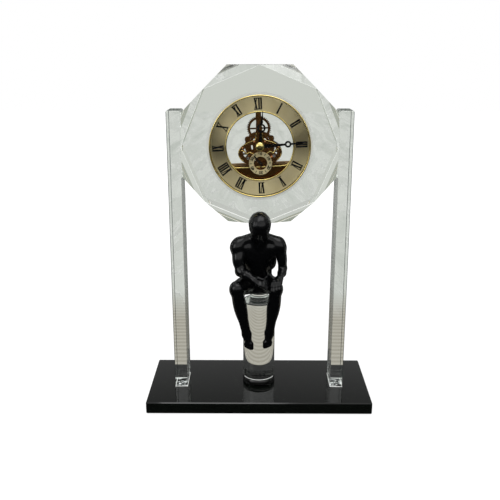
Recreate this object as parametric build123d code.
from build123d import *
import math
import os

os.makedirs("parts", exist_ok=True)

# A crystal table clock. Lengths are in millimetres, angles in degrees. The origin is the middle of the flat
# that the feet rest on, +X is to the right, +Y to the back and +Z up.

# Slab and feet
slab_width = 240.0
slab_depth = 102.0
slab_thickness = 13.0
slab_bevel = 0.9
foot_diameter = 12.0
foot_height = 1.5
foot_inset = 13.0

# Glue films between the glass pieces
glue_thickness = 0.3
glue_inset = 0.4

# Pillars
pillar_width = 13.2
pillar_depth = 32.0
pillar_height = 300.0
pillar_bevel = 0.6

# Crystal block: the glass left beside the bore, and the cut-back corners
dial_height = 265.0
block_margin = 26.65
facet_depth = 12.0

# Column and its place on the slab
column_diameter = 35.0
column_height = 95.5
seat_disc_diameter = 20.0
seat_disc_height = 10.2
column_back = 3.0
column_bevel = 0.8

# Clearances and one overrun for every cut
fit_clearance = 0.05
running_clearance = 0.05
pocket_clearance = 0.3
overrun = 2.0

# Insert: diameters seen from the front, and depths counted backwards from the front of the bezel
insert_turn = 2.8
insert_stand = 1.5
insert_depth = 33.0
barrel_diameter = 100.8
barrel_wall = 0.9
barrel_ledge = 0.6
bezel_overhang = 0.3
bezel_lip = 1.2
bezel_cover = 0.15
gasket_wall = 1.6
gasket_flange_width = 1.2
gasket_flange_thickness = 1.0
gasket_depth = 32.8
lens_thickness = 1.4
dial_front = 7.2
dial_thickness = 0.8
dial_band = 16.2
bead_width = 1.4
bead_height = 0.6
print_thickness = 0.1

# Roman numerals on the chapter ring
numeral_inset = 7.6
numeral_height = 11.4
numeral_stroke = 1.65
numeral_hairline = 0.85
numeral_gap = 0.5
numeral_v_width = 3.8
lone_x_width = 5.6

# Hands
minute_hand_front = 5.0
hour_hand_front = 5.9
hand_thickness = 0.4
minute_hand_inset = 4.0
hour_hand_overlap = 1.6
hand_boss_radius = 3.7
minute_eye_place = 28.2
minute_eye_radius = 3.3
hour_eye_place = 18.2
hour_eye_radius = 4.3
eye_rim = 1.75
hand_width = 2.0
hand_tip = 0.7
minute_hand_angle = 87.8
nut_front = 3.0
nut_radius = 4.2
nut_thickness = 1.9

# Plates
front_bridge_front = 8.6
front_bridge_thickness = 1.2
bell_half_width = 22.0
bell_top = 13.6
bell_drop = 25.0
middle_plate_front = 13.4
middle_plate_thickness = 1.0
rear_plate_front = 20.8
rear_plate_thickness = 1.2
strap_width = 3.2
bearing_pad_radius = 2.6
top_bar_width = 5.4
top_bar_tip_width = 3.4
top_bar_taper_start = 24.0
post_radius = 1.2
post_x = 12.2
post_z = 6.6
short_post_x = 7.0
short_post_z = -23.0
left_post_x = -12.4
left_post_z = -11.4
right_post_x = 14.0
right_post_z = -10.2
screw_head_radius = 1.5
screw_head_height = 0.6
screw_slot_width = 0.35
screw_slot_depth = 0.25

# Axes of the train, seen from the front and measured from the dial's centre
minute_wheel_z = 17.6
seconds_z = -17.0
third_x = -9.5
third_z = -8.0
fifth_x = 10.5
fifth_z = -7.0
rotor_x = 12.5
rotor_z = -20.2

# Wheels: tooth counts and the depth of the front face of each layer
wheel_thickness = 0.8
motion_layer_front = 10.4
cannon_layer_front = 11.8
seconds_layer_front = 15.0
centre_layer_front = 16.4
third_layer_front = 17.8
fifth_layer_front = 19.2
cannon_teeth = 20
minute_wheel_teeth = 40
minute_pinion_teeth = 12
hour_wheel_teeth = 72
seconds_pinion_teeth = 10
third_wheel_teeth = 60
third_pinion_teeth = 10
centre_wheel_teeth = 100
fifth_pinion_teeth = 12
seconds_wheel_teeth = 60
rotor_pinion_teeth = 10
fifth_wheel_teeth = 60
pressure_angle = 25.0
addendum_share = 0.8
dedendum_share = 1.08
tooth_thinning_share = 0.09
rim_share = 0.2
hub_share = 0.24
spoke_width = 1.2
wheel_spoke_width = 1.6
minute_arbor_radius = 0.6
minute_collar_radius = 0.9
arbor_radius = 0.4
seconds_arbor_radius = 0.45
rotor_arbor_radius = 0.35
hour_pipe_radius = 2.0
clutch_thickness = 0.2
clutch_radius = 3.2
end_shake = 0.2

# Knob at the back that sets the hands
knob_front = 26.0
knob_thickness = 4.0
knob_radius = 6.0
knob_grooves = 24
knob_groove_radius = 0.4

# Seconds dial
sub_dial_radius = 11.65
sub_dial_opening_radius = 6.8
sub_dial_thickness = 0.6
sub_dial_mark_length = 2.4
sub_dial_mark_width = 0.5
seconds_hand_front = 6.9
seconds_hand_thickness = 0.3
seconds_hand_length = 10.4
seconds_hand_tip = 1.1
seconds_hand_tail = 3.0
seconds_hand_boss = 1.5
seconds_hand_angle = 321.8

# Battery block, which fills the lower chord of the barrel
block_front = 12.8
block_wall = 1.6
block_top = -19.0
chamber_depth = 2.0
partition = 1.0
cell_diameter = 14.5
cell_length = 49.2
cell_nub_diameter = 5.5
cell_nub_length = 1.3
cell_corner = 0.98
cell_clearance = 0.25
contact_space = 2.6
contact_thickness = 0.4
module_front = 22.4
module_wall = 1.5
module_skin = 0.8
module_cover_thickness = 1.0
bay_skin = 0.7
cover_screw_inset = 4.0

# Stepper and circuit
magnet_radius = 2.2
magnet_thickness = 2.2
magnet_front = 22.8
stator_front = 23.3
stator_thickness = 1.1
stator_air_gap = 0.3
stator_height = 3.2
coil_left = -22.0
coil_right = -4.0
coil_radius = 1.6
coil_flange = 0.7
core_width = 1.0
core_foot = 2.0
board_inset = 3.0
board_length = 18.0
board_thickness = 0.8
board_depth = 7.4
can_radius = 0.8
can_length = 6.0
chip_size = 4.0
chip_height = 0.9

# Seated figure: height of its head above the seat
figure_height = 96.0

# Worked out from the values above
slab_top = foot_height + slab_thickness
glass_floor = slab_top + glue_thickness
dial_z = slab_top + dial_height
insert_y = -pillar_depth / 2 - insert_stand
barrel_bore = barrel_diameter / 2 - barrel_wall
bezel_diameter = barrel_diameter + 2 * bezel_overhang
bezel_opening = 2 * (barrel_bore - bezel_cover)
gasket_radius = barrel_diameter / 2 + gasket_wall
gasket_flange_radius = gasket_radius + gasket_flange_width
bore_diameter = 2 * (gasket_radius + fit_clearance)
block_flats = bore_diameter + 2 * block_margin
pillar_span = block_flats + 2 * (glue_thickness + pillar_width)
dial_opening_radius = barrel_bore - dial_band
numeral_radius = barrel_bore - numeral_inset
minute_hand_length = barrel_bore - minute_hand_inset
hour_hand_length = dial_opening_radius + hour_hand_overlap
bay_half_length = cell_length / 2 + contact_space
cell_reach = cell_diameter / 2 + cell_clearance
cell_z = cell_reach + cell_corner - math.sqrt(barrel_bore**2 - bay_half_length**2)
module_floor = cell_z + cell_reach + bay_skin
module_half_width = math.sqrt(barrel_bore**2 - module_floor**2) - module_wall
board_left = module_half_width - board_inset - board_length
cover_screw_x = module_half_width - cover_screw_inset
column_top = glass_floor + column_height
seat_z = column_top + glue_thickness + seat_disc_height
seconds_axis = (0.0, seconds_z)
third_axis = (third_x, third_z)
fifth_axis = (fifth_x, fifth_z)
rotor_axis = (rotor_x, rotor_z)
minute_axis = (0.0, minute_wheel_z)
centre_axis = (0.0, 0.0)
post_places = ((-post_x, post_z), (post_x, post_z))
short_post_places = ((-short_post_x, short_post_z), (short_post_x, short_post_z))
lobe_post_places = ((left_post_x, left_post_z), (right_post_x, right_post_z))


def write(name, *solids):
    """Write one sub-part; several separate solids go into one file as a group."""
    pieces = [solid for shape in solids for solid in shape.solids()]
    export_step(pieces[0] if len(pieces) == 1 else Compound(children=pieces), f"parts/{name}.step")


def on_dial(shape):
    """Carry a piece of the insert from the dial's own frame to its place in the crystal block."""
    return Pos(0, insert_y, dial_z) * Rot(0, -insert_turn, 0) * shape


def plate(outline, front, thickness):
    """A flat piece: its outline is seen from the front, x to the right and y up."""
    face_plane = Plane.XZ.offset(-(front + thickness))
    return extrude(face_plane * outline, amount=thickness, dir=(0, -1, 0))


def turned(points, centre=centre_axis):
    """A turned piece: points of half its section as (radius, depth), about an axis at the centre given."""
    section = make_face(Polyline(*points, close=True))
    return Pos(centre[0], 0, centre[1]) * revolve(section, Axis.Y)


def disc(radius, front, thickness, centre=centre_axis):
    return plate(Pos(*centre) * Circle(radius), front, thickness)


def ring(outer, inner, front, thickness, centre=centre_axis):
    return plate(Pos(*centre) * (Circle(outer) - Circle(inner)), front, thickness)


def bar(left, right, low, high, front, back):
    """A rectangular block by its limits: x, z and depth."""
    middle = Pos((left + right) / 2, (low + high) / 2)
    return plate(middle * Rectangle(right - left, high - low), front, back - front)


def strap(start, end, width=strap_width):
    """A round-ended strip between two places."""
    length = math.dist(start, end)
    turn = math.degrees(math.atan2(end[1] - start[1], end[0] - start[0]))
    middle = Pos((start[0] + end[0]) / 2, (start[1] + end[1]) / 2)
    return middle * Rot(0, 0, turn) * SlotCenterToCenter(length, width)


def fused(shapes):
    """All the shapes joined, one after another."""
    whole, *others = shapes
    for shape in others:
        whole += shape
    return whole


# Gear teeth

def module_of(first_axis, second_axis, first_teeth, second_teeth):
    return 2 * math.dist(first_axis, second_axis) / (first_teeth + second_teeth)


def meshed_phase(driver_phase, driver_teeth, driven_teeth, driver_axis, driven_axis):
    """Turn of the driven gear that puts its gaps on the driver's teeth."""
    toward = math.degrees(math.atan2(driven_axis[1] - driver_axis[1], driven_axis[0] - driver_axis[0]))
    share = (driver_phase - toward) / (360 / driver_teeth)
    return toward + 180 - (360 / driven_teeth) * (share + 0.5)


def involute_angle(radius, base_radius):
    """Degrees that the involute has turned by the time it reaches this radius."""
    ratio = max(radius / base_radius, 1.0)
    roll = math.sqrt(ratio**2 - 1)
    return math.degrees(roll - math.atan(roll))


def tooth_outline(teeth, module, phase):
    """Involute teeth: each flank is an arc through three points of the curve."""
    pitch_radius = teeth * module / 2
    base_radius = pitch_radius * math.cos(math.radians(pressure_angle))
    tip_radius = pitch_radius + addendum_share * module
    root_radius = pitch_radius - dedendum_share * module
    flank_start = max(base_radius, root_radius)
    flank_middle = (flank_start + tip_radius) / 2
    pitch = 360 / teeth
    half_tooth = pitch / 4 - math.degrees(tooth_thinning_share * module / pitch_radius)
    at_pitch = involute_angle(pitch_radius, base_radius)

    def corner(radius, angle):
        turn = math.radians(angle)
        return (radius * math.cos(turn), radius * math.sin(turn))

    def half_angle(radius):
        return half_tooth + at_pitch - involute_angle(radius, base_radius)

    edges = []
    for tooth in range(teeth):
        middle = phase + tooth * pitch
        rise = [corner(r, middle - half_angle(r)) for r in (flank_start, flank_middle, tip_radius)]
        fall = [corner(r, middle + half_angle(r)) for r in (tip_radius, flank_middle, flank_start)]
        foot = corner(root_radius, middle + half_angle(flank_start))
        next_foot = corner(root_radius, middle + pitch - half_angle(flank_start))
        edges.append(ThreePointArc(*rise))
        edges.append(ThreePointArc(rise[2], corner(tip_radius, middle), fall[0]))
        edges.append(ThreePointArc(*fall))
        if flank_start > root_radius:
            edges.append(Line(fall[2], foot))
        edges.append(ThreePointArc(foot, corner(root_radius, middle + pitch / 2), next_foot))
        if flank_start > root_radius:
            next_start = corner(flank_start, middle + pitch - half_angle(flank_start))
            edges.append(Line(next_foot, next_start))
    return make_face(edges)


def wheel_outline(teeth, module, phase, bore_radius, spokes=4):
    """A wheel with a thin rim, a hub and straight spokes, about the origin."""
    root_radius = (teeth / 2 - dedendum_share) * module
    inner = root_radius * (1 - rim_share)
    hub = root_radius * hub_share
    window = Circle(inner) - Circle(hub)
    for arm in range(spokes):
        turn = arm * 360 / spokes
        window -= Rot(0, 0, turn) * Pos(inner / 2, 0) * Rectangle(inner + wheel_spoke_width, wheel_spoke_width)
    return tooth_outline(teeth, module, phase) - window - Circle(bore_radius)


def wheel(teeth, module, phase, bore_radius, centre, front, spokes=4):
    outline = wheel_outline(teeth, module, phase, bore_radius, spokes)
    return plate(Pos(*centre) * outline, front, wheel_thickness)


def pinion(teeth, module, phase, centre, front, bore_radius=0.0):
    outline = tooth_outline(teeth, module, phase)
    if bore_radius:
        outline -= Circle(bore_radius)
    return plate(Pos(*centre) * outline, front, wheel_thickness)


cannon_module = module_of(centre_axis, minute_axis, cannon_teeth, minute_wheel_teeth)
motion_module = module_of(minute_axis, centre_axis, minute_pinion_teeth, hour_wheel_teeth)
third_module = module_of(seconds_axis, third_axis, seconds_pinion_teeth, third_wheel_teeth)
centre_module = module_of(third_axis, centre_axis, third_pinion_teeth, centre_wheel_teeth)
seconds_module = module_of(fifth_axis, seconds_axis, fifth_pinion_teeth, seconds_wheel_teeth)
fifth_module = module_of(rotor_axis, fifth_axis, rotor_pinion_teeth, fifth_wheel_teeth)


# Stand

def base_slab():
    slab = Pos(0, 0, foot_height + slab_thickness / 2) * Box(slab_width, slab_depth, slab_thickness)
    return chamfer(slab.edges(), slab_bevel)


def base_feet():
    across = slab_width - 2 * foot_inset
    deep = slab_depth - 2 * foot_inset
    foot = Cylinder(foot_diameter / 2, foot_height, align=(Align.CENTER, Align.CENTER, Align.MIN))
    return [place * foot for place in GridLocations(across, deep, 2, 2)]


def pillar_places():
    middle = (pillar_span - pillar_width) / 2
    return (("left_pillar", -middle), ("right_pillar", middle))


def pillar(x):
    column = Box(pillar_width, pillar_depth, pillar_height, align=(Align.CENTER, Align.CENTER, Align.MIN))
    top = column.faces().sort_by(Axis.Z)[-1]
    return Pos(x, 0, glass_floor) * chamfer(top.edges(), pillar_bevel)


def glue_pad(width, depth):
    return Box(width, depth, glue_thickness, align=(Align.CENTER, Align.CENTER, Align.MIN))


def pillar_glue():
    pad = glue_pad(pillar_width - 2 * glue_inset, pillar_depth - 2 * glue_inset)
    return [Pos(x, 0, slab_top) * pad for _, x in pillar_places()]


def octagon_side():
    return block_flats * math.tan(math.radians(22.5))


def crystal_block():
    """An octagonal plate whose eight corners are cut back, front and rear, to the middles of its edges."""
    apothem = block_flats / 2
    corner_radius = apothem / math.cos(math.radians(22.5))
    chord_radius = apothem * math.cos(math.radians(22.5))
    outline = RegularPolygon(corner_radius, 8, major_radius=True, rotation=22.5)
    block = plate(outline, -pillar_depth / 2, pillar_depth)
    rise = math.atan2(corner_radius - chord_radius, facet_depth)
    for side in (-1, 1):
        for corner in range(8):
            turn = math.radians(22.5 + 45 * corner)
            outward = Vector(math.cos(turn), 0, math.sin(turn))
            facing = outward * math.cos(rise) + Vector(0, side, 0) * math.sin(rise)
            on_edge = outward * chord_radius + Vector(0, side * pillar_depth / 2, 0)
            cutter = Box(
                block_flats, block_flats, facet_depth, align=(Align.CENTER, Align.CENTER, Align.MIN)
            )
            block -= Plane(origin=on_edge, z_dir=facing) * cutter
    bore = plate(Circle(bore_diameter / 2), -pillar_depth / 2 - overrun, pillar_depth + 2 * overrun)
    return Pos(0, 0, dial_z) * (block - bore)


def block_glue():
    """Films on the flat sides of the block, between the corner facets."""
    reach = octagon_side() / 2 - glue_inset
    depth = pillar_depth - 2 * facet_depth
    film = Box(glue_thickness, depth, 2 * reach)
    x = block_flats / 2 + glue_thickness / 2
    return [Pos(side * x, 0, dial_z) * film for side in (-1, 1)]


def glass_column():
    column = Cylinder(column_diameter / 2, column_height, align=(Align.CENTER, Align.CENTER, Align.MIN))
    column = chamfer(column.edges().sort_by(Axis.Z)[-1], column_bevel)
    return Pos(0, column_back, glass_floor) * column


def column_glue():
    pad = Cylinder(
        column_diameter / 2 - glue_inset, glue_thickness, align=(Align.CENTER, Align.CENTER, Align.MIN)
    )
    return Pos(0, column_back, slab_top) * pad


# Seated figure

def limb(start, end, start_radius, end_radius):
    """A tapered limb with round ends: a line tangent to two arcs, turned about the limb's own axis."""
    start, end = Vector(*start), Vector(*end)
    length = (end - start).length
    lean = math.asin((start_radius - end_radius) / length)
    low_mid = math.radians(45) - lean / 2
    high_mid = math.radians(45) + lean / 2

    def on_arc(centre, radius, angle):
        return (radius * math.cos(angle), centre + radius * math.sin(angle))

    low = on_arc(0, start_radius, lean)
    high = on_arc(length, end_radius, lean)
    section = make_face([
        ThreePointArc((0, -start_radius), on_arc(0, start_radius, -low_mid), low),
        Line(low, high),
        ThreePointArc(high, on_arc(length, end_radius, high_mid), (0, length + end_radius)),
        Line((0, length + end_radius), (0, -start_radius)),
    ])
    upright = Rot(90, 0, 0) * revolve(section, Axis.Y)
    return Plane(origin=start, z_dir=end - start) * upright


# Joints of the body as shares of the figure's height, from the middle of the seat: x, y, z
head_back_share = (0.000, -0.330, 0.874)
head_front_share = (0.000, -0.385, 0.805)
nape_share = (-0.005, -0.235, 0.680)
chest_share = (-0.012, -0.140, 0.500)
waist_share = (-0.012, -0.030, 0.260)
seat_middle_share = (0.000, -0.020, 0.095)
left_hip_share = (-0.095, -0.070, 0.085)
right_hip_share = (0.085, -0.070, 0.085)
left_flank_share = (-0.085, -0.060, 0.290)
right_flank_share = (0.050, -0.060, 0.290)
left_shoulder_share = (-0.240, -0.190, 0.540)
right_shoulder_share = (0.210, -0.190, 0.540)
left_elbow_share = (-0.228, -0.270, 0.315)
right_elbow_share = (0.258, -0.150, 0.315)
left_wrist_share = (-0.070, -0.385, 0.262)
right_wrist_share = (0.205, -0.325, 0.265)
left_hand_share = (0.000, -0.400, 0.240)
right_hand_share = (0.180, -0.395, 0.250)
left_knee_share = (-0.250, -0.330, 0.155)
right_knee_share = (0.176, -0.330, 0.165)
left_ankle_share = (-0.125, -0.262, -0.480)
right_ankle_share = (0.106, -0.262, -0.460)
left_toe_share = (-0.104, -0.345, -0.560)
right_toe_share = (0.083, -0.345, -0.535)


def body_point(share):
    return tuple(figure_height * value for value in share)


def girth(share):
    return figure_height * share


# Limbs: the points each runs between, and its radius at each as a share of the figure's height
limb_shares = [
    (head_back_share, head_front_share, 0.118, 0.090),
    (nape_share, head_back_share, 0.066, 0.060),
    (seat_middle_share, waist_share, 0.115, 0.115),
    (waist_share, chest_share, 0.120, 0.145),
    (chest_share, nape_share, 0.115, 0.075),
    (left_hip_share, right_hip_share, 0.105, 0.105),
    (left_flank_share, left_shoulder_share, 0.100, 0.080),
    (right_flank_share, right_shoulder_share, 0.095, 0.080),
    (left_shoulder_share, nape_share, 0.068, 0.072),
    (right_shoulder_share, nape_share, 0.068, 0.072),
    (left_hip_share, left_knee_share, 0.105, 0.078),
    (right_hip_share, right_knee_share, 0.105, 0.072),
    (left_knee_share, left_ankle_share, 0.077, 0.046),
    (right_knee_share, right_ankle_share, 0.070, 0.046),
    (left_ankle_share, left_toe_share, 0.048, 0.040),
    (right_ankle_share, right_toe_share, 0.048, 0.040),
    (left_shoulder_share, left_elbow_share, 0.070, 0.052),
    (right_shoulder_share, right_elbow_share, 0.066, 0.048),
    (left_elbow_share, left_wrist_share, 0.045, 0.032),
    (right_elbow_share, right_wrist_share, 0.044, 0.032),
    (left_wrist_share, left_hand_share, 0.036, 0.030),
    (right_wrist_share, right_hand_share, 0.036, 0.030),
]


def seated_figure():
    limbs = [
        limb(body_point(start), body_point(end), girth(start_share), girth(end_share))
        for start, end, start_share, end_share in limb_shares
    ]
    body = fused(limbs)
    below = Pos(0, 0, -column_diameter) * Cylinder(
        column_diameter / 2 + pocket_clearance, column_diameter,
        align=(Align.CENTER, Align.CENTER, Align.MIN),
    )
    return Pos(0, column_back, seat_z + glue_thickness) * (body - below)


def seat_disc():
    puck = Cylinder(seat_disc_diameter / 2, seat_disc_height, align=(Align.CENTER, Align.CENTER, Align.MIN))
    return Pos(0, column_back, column_top + glue_thickness) * puck


def figure_glue():
    """Two films: one under the seat disc and one on top of it."""
    pad = Cylinder(seat_disc_diameter / 2, glue_thickness, align=(Align.CENTER, Align.CENTER, Align.MIN))
    return [Pos(0, column_back, level) * pad for level in (column_top, seat_z)]


# Case of the insert

def gasket_ring():
    outer = gasket_radius
    inner = barrel_diameter / 2
    lip_inner = bezel_diameter / 2
    flange_front = insert_stand - gasket_flange_thickness
    return turned([
        (inner, bezel_lip), (lip_inner, bezel_lip), (lip_inner, flange_front),
        (gasket_flange_radius, flange_front), (gasket_flange_radius, insert_stand), (outer, insert_stand),
        (outer, gasket_depth), (inner, gasket_depth),
    ])


def case_ring():
    outer = barrel_diameter / 2
    ledge = barrel_bore - barrel_ledge
    lens_back = bezel_lip + lens_thickness
    dial_back = dial_front + dial_thickness
    return turned([
        (outer, bezel_lip), (outer, insert_depth), (barrel_bore, insert_depth),
        (barrel_bore, dial_back + 2 * barrel_ledge), (ledge, dial_back + barrel_ledge), (ledge, dial_back),
        (barrel_bore, dial_back), (barrel_bore, lens_back + 2 * barrel_ledge),
        (ledge, lens_back + barrel_ledge), (ledge, lens_back), (barrel_bore, lens_back),
        (barrel_bore, bezel_lip),
    ])


def bezel():
    outer = bezel_diameter / 2
    inner = bezel_opening / 2
    section = make_face([
        Line((inner, bezel_lip), (outer, bezel_lip)),
        Line((outer, bezel_lip), (outer, bezel_lip / 2)),
        ThreePointArc((outer, bezel_lip / 2), ((outer + inner) / 2, 0), (inner, bezel_lip / 2)),
        Line((inner, bezel_lip / 2), (inner, bezel_lip)),
    ])
    return revolve(section, Axis.Y)


def lens():
    return disc(barrel_bore, bezel_lip, lens_thickness)


def chapter_ring():
    return ring(barrel_bore, dial_opening_radius, dial_front, dial_thickness)


def bead_ring():
    inner = dial_opening_radius
    outer = inner + bead_width
    section = make_face([
        Line((inner, dial_front), (outer, dial_front)),
        ThreePointArc(
            (outer, dial_front), ((outer + inner) / 2, dial_front - bead_height), (inner, dial_front)
        ),
    ])
    return revolve(section, Axis.Y)


# Numerals: strokes stand on the dial's radius, their feet toward the centre

def stroke(x_low, x_high, width):
    """A stroke from its foot to its head, cut level at both ends."""
    low, high = -numeral_height / 2, numeral_height / 2
    half = width / 2
    return make_face(Polyline(
        (x_low - half, low), (x_low + half, low), (x_high + half, high), (x_high - half, high), close=True))


def serifs(width):
    reach = (numeral_height - numeral_hairline) / 2
    strip = Rectangle(width, numeral_hairline)
    return [Pos(0, reach) * strip, Pos(0, -reach) * strip]


def letter(name, leaning_width):
    """One letter about its own middle, as its width and its outline."""
    if name == "I":
        width = numeral_stroke
        return width, stroke(0, 0, width)
    width = leaning_width
    lean = (width - numeral_stroke) / 2
    foot = 0 if name == "V" else lean
    thin_foot = foot if name == "V" else -lean
    shift = (numeral_stroke - numeral_hairline) / 2 if name == "V" else 0
    thick = stroke(foot, -lean, numeral_stroke)
    thin = stroke(thin_foot + shift, lean + shift, numeral_hairline)
    return width, thick + thin


def numeral(text):
    leaning_width = lone_x_width if text == "X" else numeral_v_width
    letters = [letter(name, leaning_width) for name in text]
    total = sum(width for width, _ in letters) + numeral_gap * (len(letters) - 1)
    shapes = serifs(total)
    x = -total / 2
    for width, outline in letters:
        shapes.append(Pos(x + width / 2, 0) * outline)
        x += width + numeral_gap
    return fused(shapes)


def hour_numerals():
    texts = ("XII", "I", "II", "III", "IV", "V", "VI", "VII", "VIII", "IX", "X", "XI")
    front = dial_front - print_thickness
    placed = []
    for hour, text in enumerate(texts):
        outline = Rot(0, 0, -30 * hour) * Pos(0, numeral_radius) * numeral(text)
        placed.append(plate(outline, front, print_thickness))
    return placed


# Hands

def hand_outline(length, eye_place, eye_radius, bore):
    """A pierced ring hand: a boss, a waisted stem, a ring, and a tapering point beyond it."""
    eye_foot = eye_place - eye_radius + eye_rim / 2
    eye_head = eye_place + eye_radius - eye_rim / 2
    stem = make_face(Polyline(
        (-hand_width, 0), (-hand_width / 2, eye_foot), (hand_width / 2, eye_foot), (hand_width, 0),
        close=True))
    point = make_face(Polyline(
        (-hand_width / 2, eye_head), (-hand_tip / 2, length), (hand_tip / 2, length),
        (hand_width / 2, eye_head), close=True))
    barb = eye_radius - eye_rim
    collar = Pos(0, eye_place + eye_radius + eye_rim) * Ellipse(barb / 2, eye_rim)
    foot_collar = Pos(0, eye_place - eye_radius - eye_rim) * Ellipse(barb / 2, eye_rim)
    eye = Pos(0, eye_place) * (Circle(eye_radius) - Circle(eye_radius - eye_rim))
    return Circle(hand_boss_radius) + stem + point + collar + foot_collar + eye - Circle(bore)


def minute_hand():
    outline = hand_outline(minute_hand_length, minute_eye_place, minute_eye_radius, minute_arbor_radius)
    return plate(Rot(0, 0, -minute_hand_angle) * outline, minute_hand_front, hand_thickness)


def hour_hand():
    outline = hand_outline(hour_hand_length, hour_eye_place, hour_eye_radius, hour_pipe_radius)
    return plate(Rot(0, 0, -minute_hand_angle / 12) * outline, hour_hand_front, hand_thickness)


def seconds_hand():
    needle = make_face(Polyline(
        (-hand_width / 2, -seconds_hand_tail), (-seconds_hand_tip / 2, seconds_hand_length),
        (seconds_hand_tip / 2, seconds_hand_length), (hand_width / 2, -seconds_hand_tail), close=True))
    outline = needle + Circle(seconds_hand_boss) - Circle(seconds_arbor_radius)
    placed = Pos(*seconds_axis) * Rot(0, 0, -seconds_hand_angle) * outline
    return plate(placed, seconds_hand_front, seconds_hand_thickness)


def hand_nut():
    """A domed nut whose dome bulges to the front."""
    back = nut_front + nut_thickness
    rim = back - nut_thickness / 4
    shoulder = (nut_radius * math.sin(math.radians(45)), nut_front + nut_thickness / 4)
    section = make_face([
        ThreePointArc((0, nut_front), shoulder, (nut_radius, rim)),
        Line((nut_radius, rim), (nut_radius, back)),
        Line((nut_radius, back), (0, back)),
        Line((0, back), (0, nut_front)),
    ])
    threaded = disc(minute_arbor_radius, back - nut_thickness / 2, nut_thickness / 2 + overrun)
    return revolve(section, Axis.Y) - threaded


# Plates of the movement. Outlines are shares of the bell's half width and of its drop below the centre

bell_half_shares = (
    (0.155, 0.540), (0.165, 0.380), (0.215, 0.280), (0.410, 0.212), (0.600, 0.152), (0.782, 0.064),
    (0.918, -0.048), (0.990, -0.180), (1.000, -0.312), (0.936, -0.450), (0.790, -0.590), (0.600, -0.710),
    (0.470, -0.860), (0.250, -1.000),
)
window_shares = (
    (0.360, 0.060), (0.540, 0.030), (0.690, -0.060), (0.770, -0.180), (0.760, -0.320), (0.660, -0.420),
    (0.480, -0.360), (0.370, -0.220), (0.320, -0.060),
)
scroll_shares = ((0.860, -0.130), (0.700, -0.190), (0.600, -0.290), (0.480, -0.230), (0.290, -0.300))


def bell_outline():
    right = [(bell_half_width * x, bell_drop * z) for x, z in bell_half_shares]
    left = [(-x, z) for x, z in reversed(right)]
    head = (right[0], (right[0][0], bell_top), (-right[0][0], bell_top), left[-1])
    return make_face([
        Spline(*right), Line(right[-1], left[0]), Spline(*left),
        Line(head[3], head[2]), Line(head[2], head[1]), Line(head[1], head[0]),
    ])


def bell_windows():
    """A window in each lobe, crossed by a scroll."""
    windows = []
    for side in (-1, 1):
        points = [(side * bell_half_width * x, bell_drop * z) for x, z in window_shares]
        scroll = [(side * bell_half_width * x, bell_drop * z) for x, z in scroll_shares]
        opening = make_face(Spline(*points, periodic=True))
        path = Spline(*scroll)
        windows.append(opening - trace(path, spoke_width))
    return windows


def front_bridge():
    seconds_pad = Pos(*seconds_axis) * Circle(sub_dial_radius - sub_dial_thickness)
    cross = Rectangle(2 * sub_dial_opening_radius, spoke_width)
    cross += Rectangle(spoke_width, 2 * sub_dial_opening_radius)
    seconds_light = Pos(*seconds_axis) * (
        Circle(sub_dial_opening_radius - sub_dial_thickness) - Circle(bearing_pad_radius) - cross
    )
    outline = bell_outline() + seconds_pad
    for window in bell_windows():
        outline -= window
    outline += [Pos(*place) * Circle(bearing_pad_radius) for place in lobe_post_places]
    outline += Circle(2 * bearing_pad_radius)
    outline -= seconds_light
    outline -= Circle(hour_pipe_radius + running_clearance)
    outline -= Pos(*seconds_axis) * Circle(seconds_arbor_radius + running_clearance)
    return plate(outline, front_bridge_front, front_bridge_thickness)


def top_bar():
    """Runs from the barrel's ledge down to the bridge, and carries the upper wheel's front pivot."""
    top = barrel_bore - barrel_ledge
    half, tip = top_bar_width / 2, top_bar_tip_width
    outline = make_face(Polyline(
        (-half, top), (-half, top_bar_taper_start), (-tip, bell_top), (tip, bell_top),
        (half, top_bar_taper_start), (half, top), close=True))
    within = Circle(top)
    pivot = Pos(*minute_axis) * Circle(arbor_radius + running_clearance)
    back = front_bridge_front + front_bridge_thickness
    front = dial_front + dial_thickness
    return plate((outline & within) - pivot, front, back - front)


def strapped(pads, links, holes):
    outline = fused([Pos(*centre) * Circle(bearing_pad_radius) for centre in pads])
    outline += [strap(start, end) for start, end in links]
    for centre, radius in holes:
        outline -= Pos(*centre) * Circle(radius)
    return outline


def middle_plate():
    left_foot = (third_x, block_top)
    right_foot = (fifth_x, block_top)
    pivot = arbor_radius + running_clearance
    pads = (centre_axis, minute_axis, third_axis, fifth_axis) + post_places + lobe_post_places
    links = (
        (centre_axis, minute_axis), (centre_axis, third_axis), (centre_axis, fifth_axis),
        (third_axis, post_places[0]), (fifth_axis, post_places[1]), (third_axis, left_foot),
        (fifth_axis, right_foot), (third_axis, lobe_post_places[0]), (fifth_axis, lobe_post_places[1]),
    )
    holes = [(centre_axis, minute_collar_radius + running_clearance)]
    holes += [(axis, pivot) for axis in (minute_axis, third_axis, fifth_axis)]
    holes += [(place, post_radius) for place in post_places]
    outline = strapped(pads, links, holes)
    below = Pos(0, block_top - strap_width) * Rectangle(bell_half_width * 2, 2 * strap_width)
    return plate(outline - below, middle_plate_front, middle_plate_thickness)


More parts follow.
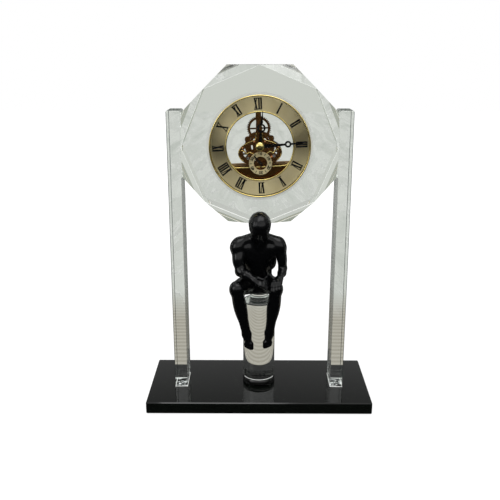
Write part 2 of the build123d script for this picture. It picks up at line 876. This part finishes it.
def rear_plate():
    left_foot = (third_x, module_floor)
    right_foot = (rotor_x, module_floor)
    pivot = arbor_radius + running_clearance
    pads = (centre_axis, third_axis, fifth_axis, seconds_axis, rotor_axis) + post_places
    links = (
        (centre_axis, third_axis), (centre_axis, fifth_axis), (third_axis, seconds_axis),
        (fifth_axis, seconds_axis), (seconds_axis, rotor_axis), (third_axis, post_places[0]),
        (fifth_axis, post_places[1]), (third_axis, left_foot), (rotor_axis, right_foot),
    )
    holes = [(centre_axis, minute_arbor_radius + running_clearance)]
    holes += [(axis, pivot) for axis in (third_axis, fifth_axis)]
    holes.append((seconds_axis, seconds_arbor_radius + running_clearance))
    holes.append((rotor_axis, rotor_arbor_radius + running_clearance))
    outline = strapped(pads, links, holes)
    below = Pos(0, module_floor - strap_width) * Rectangle(bell_half_width * 2, 2 * strap_width)
    return plate(outline - below, rear_plate_front, rear_plate_thickness)


def bridge_posts():
    """Three pairs: middle plate to rear plate, bridge to middle plate, and bridge to battery block."""
    bridge_back = front_bridge_front + front_bridge_thickness
    long_length = rear_plate_front - middle_plate_front
    lobe_length = middle_plate_front - bridge_back
    short_length = block_front - bridge_back
    long_posts = [disc(post_radius, middle_plate_front, long_length, place) for place in post_places]
    lobe_posts = [disc(post_radius, bridge_back, lobe_length, place) for place in lobe_post_places]
    short_posts = [disc(post_radius, bridge_back, short_length, place) for place in short_post_places]
    return long_posts + lobe_posts + short_posts


def screw(centre, face, facing=-1):
    """A slotted cheese-head screw; its head stands on the face and points to the front or the back."""
    front = face - screw_head_height if facing < 0 else face
    head = disc(screw_head_radius, front, screw_head_height, centre)
    slot = Pos(*centre) * Rectangle(2 * screw_head_radius + overrun, screw_slot_width)
    slot_front = front if facing < 0 else front + screw_head_height - screw_slot_depth
    return head - plate(slot, slot_front, screw_slot_depth)


def bridge_screws():
    front_screws = [screw(place, front_bridge_front) for place in lobe_post_places]
    rear_face = rear_plate_front + rear_plate_thickness
    rear_screws = [screw(place, rear_face, 1) for place in post_places]
    return front_screws + rear_screws


# Seconds dial

def sub_dial():
    front = front_bridge_front - sub_dial_thickness
    return ring(sub_dial_radius, sub_dial_opening_radius, front, sub_dial_thickness, seconds_axis)


def sub_dial_marks():
    front = front_bridge_front - sub_dial_thickness - print_thickness
    radius = (sub_dial_radius + sub_dial_opening_radius) / 2
    mark = Rectangle(sub_dial_mark_width, sub_dial_mark_length)
    return [
        plate(Pos(*seconds_axis) * Rot(0, 0, -30 * place) * Pos(0, radius) * mark, front, print_thickness)
        for place in range(12)
    ]


# Train

def rotor_magnet():
    return ring(magnet_radius, rotor_arbor_radius, magnet_front, magnet_thickness, rotor_axis)


def rotor_pinion():
    phase = meshed_phase(0, fifth_wheel_teeth, rotor_pinion_teeth, fifth_axis, rotor_axis)
    teeth = pinion(rotor_pinion_teeth, fifth_module, phase, rotor_axis, fifth_layer_front)
    front = block_front + block_wall + chamber_depth + end_shake
    back = magnet_front + magnet_thickness + end_shake
    return teeth + disc(rotor_arbor_radius, front, back - front, rotor_axis)


def train_arbor(axis, teeth):
    """Pinion and arbor in one, between the middle plate and the rear plate."""
    back = rear_plate_front + rear_plate_thickness
    return teeth + disc(arbor_radius, middle_plate_front, back - middle_plate_front, axis)


def fifth_wheel():
    return wheel(fifth_wheel_teeth, fifth_module, 0, arbor_radius, fifth_axis, fifth_layer_front)


def fifth_pinion():
    phase = meshed_phase(0, seconds_wheel_teeth, fifth_pinion_teeth, seconds_axis, fifth_axis)
    teeth = pinion(fifth_pinion_teeth, seconds_module, phase, fifth_axis, seconds_layer_front)
    return train_arbor(fifth_axis, teeth)


def seconds_wheel():
    return wheel(
        seconds_wheel_teeth, seconds_module, 0, seconds_arbor_radius, seconds_axis, seconds_layer_front, 5)


def seconds_arbor():
    teeth = pinion(seconds_pinion_teeth, third_module, 0, seconds_axis, third_layer_front)
    back = rear_plate_front + rear_plate_thickness
    return teeth + disc(seconds_arbor_radius, seconds_hand_front, back - seconds_hand_front, seconds_axis)


def third_wheel():
    phase = meshed_phase(0, seconds_pinion_teeth, third_wheel_teeth, seconds_axis, third_axis)
    return wheel(third_wheel_teeth, third_module, phase, arbor_radius, third_axis, third_layer_front)


def third_pinion():
    teeth = pinion(third_pinion_teeth, centre_module, 0, third_axis, centre_layer_front)
    return train_arbor(third_axis, teeth)


def centre_wheel():
    """Runs loose on the minute arbor; the clutch spring drags it round."""
    phase = meshed_phase(0, third_pinion_teeth, centre_wheel_teeth, third_axis, centre_axis)
    bore = minute_arbor_radius + running_clearance
    return wheel(centre_wheel_teeth, centre_module, phase, bore, centre_axis, centre_layer_front, 5)


def minute_arbor():
    """Arbor with the cannon pinion and a collar that the centre wheel leans on."""
    nut_seat = nut_front + nut_thickness / 2
    arbor = disc(minute_arbor_radius, nut_seat, knob_front + knob_thickness - nut_seat)
    cannon = pinion(cannon_teeth, cannon_module, 0, centre_axis, cannon_layer_front)
    collar_front = cannon_layer_front + wheel_thickness
    clutch_front = centre_layer_front - clutch_thickness - end_shake
    collar = disc(minute_collar_radius, collar_front, clutch_front - collar_front)
    return arbor + cannon + collar


def clutch_spring():
    """A thin dished washer between the collar and the centre wheel."""
    front = centre_layer_front - clutch_thickness - end_shake
    return turned([
        (minute_arbor_radius, front), (minute_collar_radius, front),
        (clutch_radius, centre_layer_front - clutch_thickness - running_clearance),
        (clutch_radius, centre_layer_front - running_clearance),
        (minute_collar_radius, front + clutch_thickness), (minute_arbor_radius, front + clutch_thickness),
    ])


def setting_knob():
    knob = ring(knob_radius, minute_arbor_radius, knob_front, knob_thickness)
    for groove in range(knob_grooves):
        turn = math.radians(groove * 360 / knob_grooves)
        place = (knob_radius * math.cos(turn), knob_radius * math.sin(turn))
        knob -= disc(knob_groove_radius, knob_front - overrun, knob_thickness + 2 * overrun, place)
    return knob


def minute_wheel():
    phase = meshed_phase(0, cannon_teeth, minute_wheel_teeth, centre_axis, minute_axis)
    return wheel(minute_wheel_teeth, cannon_module, phase, arbor_radius, minute_axis, cannon_layer_front)


def minute_pinion():
    teeth = pinion(minute_pinion_teeth, motion_module, 90, minute_axis, motion_layer_front)
    front = dial_front + dial_thickness
    back = middle_plate_front + middle_plate_thickness
    return teeth + disc(arbor_radius, front, back - front, minute_axis)


def hour_wheel():
    phase = meshed_phase(90, minute_pinion_teeth, hour_wheel_teeth, minute_axis, centre_axis)
    return wheel(hour_wheel_teeth, motion_module, phase, hour_pipe_radius, centre_axis, motion_layer_front, 5)


def hour_pipe():
    back = motion_layer_front + wheel_thickness
    inner = minute_arbor_radius + running_clearance
    return ring(hour_pipe_radius, inner, hour_hand_front, back - hour_hand_front)


# Battery block, movement module and cell

def chord(radius, top):
    """The part of a disc that lies below a level."""
    cover = Pos(0, top - radius) * Rectangle(2 * radius, 2 * radius)
    return Circle(radius) & cover


def battery_block():
    depth_end = insert_depth - overrun / 4
    body = plate(chord(barrel_bore, block_top), block_front, depth_end - block_front)
    seconds_reach = (seconds_wheel_teeth / 2 + 1) * seconds_module + pocket_clearance
    chamber_front = block_front + block_wall
    body -= disc(seconds_reach, chamber_front, chamber_depth, seconds_axis)
    train_front = chamber_front + chamber_depth + partition
    body -= bar(-bell_half_width - strap_width, bell_half_width + strap_width, module_floor,
                block_top + overrun, train_front, module_front)
    body -= bar(-module_half_width, module_half_width, module_floor, block_top - module_skin,
                module_front, depth_end + overrun)
    light = magnet_radius + stator_air_gap + stator_thickness
    body -= bar(rotor_x - light, rotor_x + light, module_floor, block_top + overrun, module_front,
                magnet_front + magnet_thickness + stator_thickness)
    body -= disc(rotor_arbor_radius + running_clearance, chamber_front,
                 train_front - chamber_front + overrun, rotor_axis)
    body -= bar(-bay_half_length, bay_half_length, cell_z - cell_reach, cell_z + cell_reach,
                train_front, depth_end + overrun)
    return body


def module_cover():
    """A plate that closes the module's space from the back, between its skin and its floor."""
    back = insert_depth - overrun / 4
    return bar(-module_half_width, module_half_width, module_floor, block_top - module_skin,
               back - module_cover_thickness, back)


def cover_screws():
    face = insert_depth - overrun / 4
    z = (module_floor + block_top - module_skin) / 2
    return [screw((side * cover_screw_x, z), face, 1) for side in (-1, 1)]


def cell_depth():
    """Depth of the cell's axis."""
    front = block_front + block_wall + chamber_depth + partition
    return front + cell_clearance + cell_diameter / 2


def battery_cell():
    """A round cell lying across the block, its nub to the right."""
    can_half = (cell_length - cell_nub_length) / 2
    can = Pos(-cell_nub_length / 2, 0, 0) * Rot(0, 90, 0) * Cylinder(cell_diameter / 2, 2 * can_half)
    nub = Pos((cell_length - cell_nub_length) / 2, 0, 0) * Rot(0, 90, 0) * Cylinder(
        cell_nub_diameter / 2, cell_nub_length)
    return Pos(0, cell_depth(), cell_z) * (can + nub)


def positive_contact():
    half = cell_nub_diameter
    return bar(bay_half_length - contact_thickness, bay_half_length, cell_z - half, cell_z + half,
               cell_depth() - half, cell_depth() + half)


def negative_spring():
    """A flat foot on the bay's left wall and a bowed leaf that reaches the can's end."""
    half = cell_nub_diameter
    wall = contact_thickness - bay_half_length
    reach = -cell_length / 2 - running_clearance
    low, high = cell_z - half, cell_z + half
    foot = bar(-bay_half_length, wall, low, high, cell_depth() - half, cell_depth() + half)
    bow = make_face([
        ThreePointArc((wall, low), (reach, cell_z), (wall, high)),
        Line((wall, high), (wall, high - 2 * contact_thickness)),
        ThreePointArc((wall, high - 2 * contact_thickness), (reach - contact_thickness, cell_z),
                      (wall, low + 2 * contact_thickness)),
        Line((wall, low + 2 * contact_thickness), (wall, low)),
    ])
    return foot + plate(bow, cell_depth() - half / 2, half)


def stator():
    """One flat plate with a hole for the magnet, standing on the module's floor."""
    left = coil_left - core_foot
    right = rotor_x + magnet_radius + 2 * stator_thickness
    low, high = module_floor, module_floor + stator_height
    around = magnet_radius + stator_air_gap + stator_thickness
    outline = Pos((left + right) / 2, (low + high) / 2) * Rectangle(right - left, high - low)
    outline += Pos(*rotor_axis) * Circle(around)
    outline -= Pos(*rotor_axis) * Circle(magnet_radius + stator_air_gap)
    outline -= Pos((left + right) / 2, low - around) * Rectangle(right - left, 2 * around)
    return plate(outline, stator_front, stator_thickness)


def coil_z():
    return module_floor + stator_height / 2


def coil_depth():
    return stator_front + stator_thickness + coil_radius + core_width / 2


def coil_core():
    """A soft-iron bar behind the stator, with a foot at each end that meets it."""
    half = core_width / 2
    z, y = coil_z(), coil_depth()
    rod = bar(coil_left - core_foot, coil_right + core_foot, z - half, z + half, y - half, y + half)
    feet = [
        bar(x, x + core_foot, z - half, z + half, stator_front + stator_thickness, y + half)
        for x in (coil_left - core_foot, coil_right)
    ]
    return fused([rod] + feet)


def along_x(radius, left, right, inner=0.0):
    """A round piece lying along x at the coil's place."""
    length = right - left
    tube = Cylinder(radius, length)
    if inner:
        tube -= Cylinder(inner, length + overrun)
    return Pos((left + right) / 2, coil_depth(), coil_z()) * Rot(0, 90, 0) * tube


def coil_bobbin():
    half = core_width / 2
    core_hole = bar(coil_left - overrun, coil_right + overrun, coil_z() - half, coil_z() + half,
                    coil_depth() - half, coil_depth() + half)
    barrel = along_x(core_width, coil_left, coil_right)
    flanges = [along_x(coil_radius, x, x + coil_flange) for x in (coil_left, coil_right - coil_flange)]
    return fused([barrel] + flanges) - core_hole


def coil_winding():
    radius = coil_radius - coil_flange / 4
    return along_x(radius, coil_left + coil_flange, coil_right - coil_flange, core_width)


def circuit_board():
    front = module_front + pocket_clearance
    return bar(board_left, board_left + board_length, module_floor, module_floor + board_thickness,
               front, front + board_depth)


def board_face():
    return module_floor + board_thickness


def quartz_can():
    x = board_left + board_length - can_length
    y = module_front + pocket_clearance + board_depth / 4
    can = Rot(0, 90, 0) * Cylinder(can_radius, can_length)
    return Pos(x + can_length / 4, y, board_face() + can_radius) * can


def timing_chip():
    x = board_left + chip_size
    y = module_front + pocket_clearance + board_depth / 2
    return bar(x - chip_size / 2, x + chip_size / 2, board_face(), board_face() + chip_height,
               y - chip_size / 2, y + chip_size / 2)


def as_list(shape):
    return shape if isinstance(shape, list) else [shape]


stand = {
    "base_slab": base_slab,
    "base_feet": base_feet,
    "pillar_glue": pillar_glue,
    "crystal_block": crystal_block,
    "block_glue": block_glue,
    "glass_column": glass_column,
    "column_glue": column_glue,
    "seated_figure": seated_figure,
    "figure_glue": figure_glue,
    "seat_disc": seat_disc,
}
insert = (
    gasket_ring, case_ring, bezel, lens, chapter_ring, hour_numerals, bead_ring, front_bridge, middle_plate,
    rear_plate, top_bar, bridge_posts, bridge_screws, sub_dial, sub_dial_marks, battery_block, module_cover,
    cover_screws, positive_contact, negative_spring, circuit_board, quartz_can, timing_chip, coil_bobbin,
    coil_winding, coil_core, stator, battery_cell, rotor_magnet, rotor_pinion, fifth_wheel, fifth_pinion,
    seconds_wheel, seconds_arbor, seconds_hand, third_wheel, third_pinion, centre_wheel, minute_arbor,
    clutch_spring, minute_hand, hand_nut, setting_knob, minute_wheel, minute_pinion, hour_wheel, hour_pipe,
    hour_hand,
)

for name, make in stand.items():
    write(name, *as_list(make()))
for name, x in pillar_places():
    write(name, pillar(x))
for make in insert:
    write(make.__name__, *[on_dial(piece) for piece in as_list(make())])
